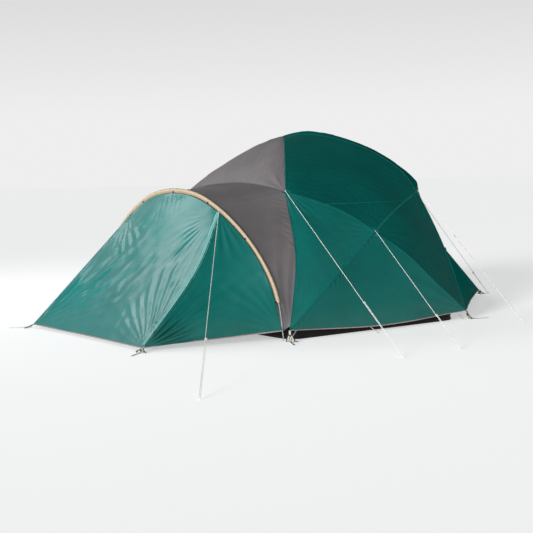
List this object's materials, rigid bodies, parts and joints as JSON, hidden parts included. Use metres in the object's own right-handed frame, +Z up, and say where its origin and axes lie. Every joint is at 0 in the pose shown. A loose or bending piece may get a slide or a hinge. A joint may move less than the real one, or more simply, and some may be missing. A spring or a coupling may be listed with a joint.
{
  "type": "dome tent",
  "caption": "Dome tent on crossing poles with a staked front vestibule whose door swings open, a low rear wing and adjustable guy lines",
  "frame": {"origin": "middle of the groundsheet's underside, on the ground", "axes": "+Z up, -X to the front where the vestibule is, -Y to the left"},
  "size_m": [6.5553, 6.6751, 2.0555],
  "materials": {
    "alloy": "satin anodised",
    "sleeve": "matt woven tape",
    "groundsheet": "coated, satin",
    "inner_cloth": "matt, thin",
    "fly_grey": "coated, soft sheen",
    "fly_light_teal": "coated, glossy",
    "fly_teal": "coated, soft sheen",
    "slider": "moulded",
    "guy_cord": "braided",
    "webbing": "woven"
  },
  "bodies": {
    "tent": {"arch_sleeve": "sleeve", "corner_strap_front_left": "webbing", "corner_strap_front_right": "webbing", "corner_strap_rear_left": "webbing", "corner_strap_rear_right": "webbing", "corner_strap_vestibule_left": "webbing", "corner_strap_vestibule_right": "webbing", "corner_strap_wing": "webbing", "fly_front_lower": "fly_grey", "fly_front_upper": "fly_grey", "fly_rear_lower": "fly_teal", "fly_rear_upper": "fly_teal", "fly_roof_left": "fly_teal", "fly_roof_right": "fly_teal", "fly_side_front_left": "fly_teal", "fly_side_front_right": "fly_teal", "fly_side_low_left": "fly_teal", "fly_side_low_right": "fly_teal", "fly_side_rear_left": "fly_teal", "fly_side_rear_right": "fly_teal", "groundsheet_tub": "groundsheet", "guy_arch_left": "guy_cord", "guy_front_left": "guy_cord", "guy_front_right": "guy_cord", "guy_rear_left": "guy_cord", "guy_rear_right": "guy_cord", "guy_side_left": "guy_cord", "guy_side_right": "guy_cord", "guy_wing_left": "guy_cord", "inner_wall_front": "inner_cloth", "inner_wall_left": "inner_cloth", "inner_wall_rear": "inner_cloth", "inner_wall_right": "inner_cloth", "peg_front_left": "alloy", "peg_front_right": "alloy", "peg_rear_left": "alloy", "peg_rear_right": "alloy", "peg_vestibule_left": "alloy", "peg_vestibule_right": "alloy", "peg_wing": "alloy", "pole_arch": "alloy", "pole_diagonal_left": "alloy", "pole_diagonal_right": "alloy", "pole_hoop_front": "alloy", "pole_hoop_rear": "alloy", "vestibule_side_left": "fly_teal", "vestibule_side_right": "fly_teal", "wing_side_left": "fly_teal", "wing_side_right": "fly_teal", "wing_top": "fly_teal"},
    "door": {"vestibule_door": "fly_light_teal"},
    "zip_slider": {"zip_slider": "alloy"},
    "guy_slider_front_left": {"guy_slider_front_left": "slider"},
    "guy_slider_front_right": {"guy_slider_front_right": "slider"},
    "guy_slider_side_left": {"guy_slider_side_left": "slider"},
    "guy_slider_side_right": {"guy_slider_side_right": "slider"},
    "guy_slider_rear_left": {"guy_slider_rear_left": "slider"},
    "guy_slider_rear_right": {"guy_slider_rear_right": "slider"},
    "guy_slider_wing_left": {"guy_slider_wing_left": "slider"},
    "guy_slider_arch_left": {"guy_slider_arch_left": "slider"}
  },
  "joints": [
    {"name": "vestibule_door_swing", "type": "hinge", "parent": "tent", "child": "door", "pos_m": [-2.5, 1.22, 0.035], "axis": [-0.6577, 0.1911, -0.7287], "range_deg": [0, 100]},
    {"name": "zip_slide", "type": "slide", "parent": "tent", "child": "zip_slider", "axis": [0.7194, 0.1205, 0.684], "range_m": [0, 0.6]},
    {"name": "guy_front_left_adjust", "type": "slide", "parent": "tent", "child": "guy_slider_front_left", "axis": [-0.1384, -0.8284, -0.5428], "range_m": [-0.35, 0.35]},
    {"name": "guy_front_right_adjust", "type": "slide", "parent": "tent", "child": "guy_slider_front_right", "axis": [-0.1384, 0.8284, -0.5428], "range_m": [-0.35, 0.35]},
    {"name": "guy_side_left_adjust", "type": "slide", "parent": "tent", "child": "guy_slider_side_left", "axis": [-0.2033, -0.8339, -0.5131], "range_m": [-0.35, 0.35]},
    {"name": "guy_side_right_adjust", "type": "slide", "parent": "tent", "child": "guy_slider_side_right", "axis": [-0.2033, 0.8339, -0.5131], "range_m": [-0.35, 0.35]},
    {"name": "guy_rear_left_adjust", "type": "slide", "parent": "tent", "child": "guy_slider_rear_left", "axis": [0.2505, -0.5975, -0.7617], "range_m": [-0.35, 0.35]},
    {"name": "guy_rear_right_adjust", "type": "slide", "parent": "tent", "child": "guy_slider_rear_right", "axis": [0.2505, 0.5975, -0.7617], "range_m": [-0.35, 0.35]},
    {"name": "guy_wing_left_adjust", "type": "slide", "parent": "tent", "child": "guy_slider_wing_left", "axis": [0.7536, 0.2158, -0.6209], "range_m": [-0.35, 0.35]},
    {"name": "guy_arch_left_adjust", "type": "slide", "parent": "tent", "child": "guy_slider_arch_left", "axis": [-0.544, -0.7591, -0.3576], "range_m": [-0.35, 0.35]}
  ]
}
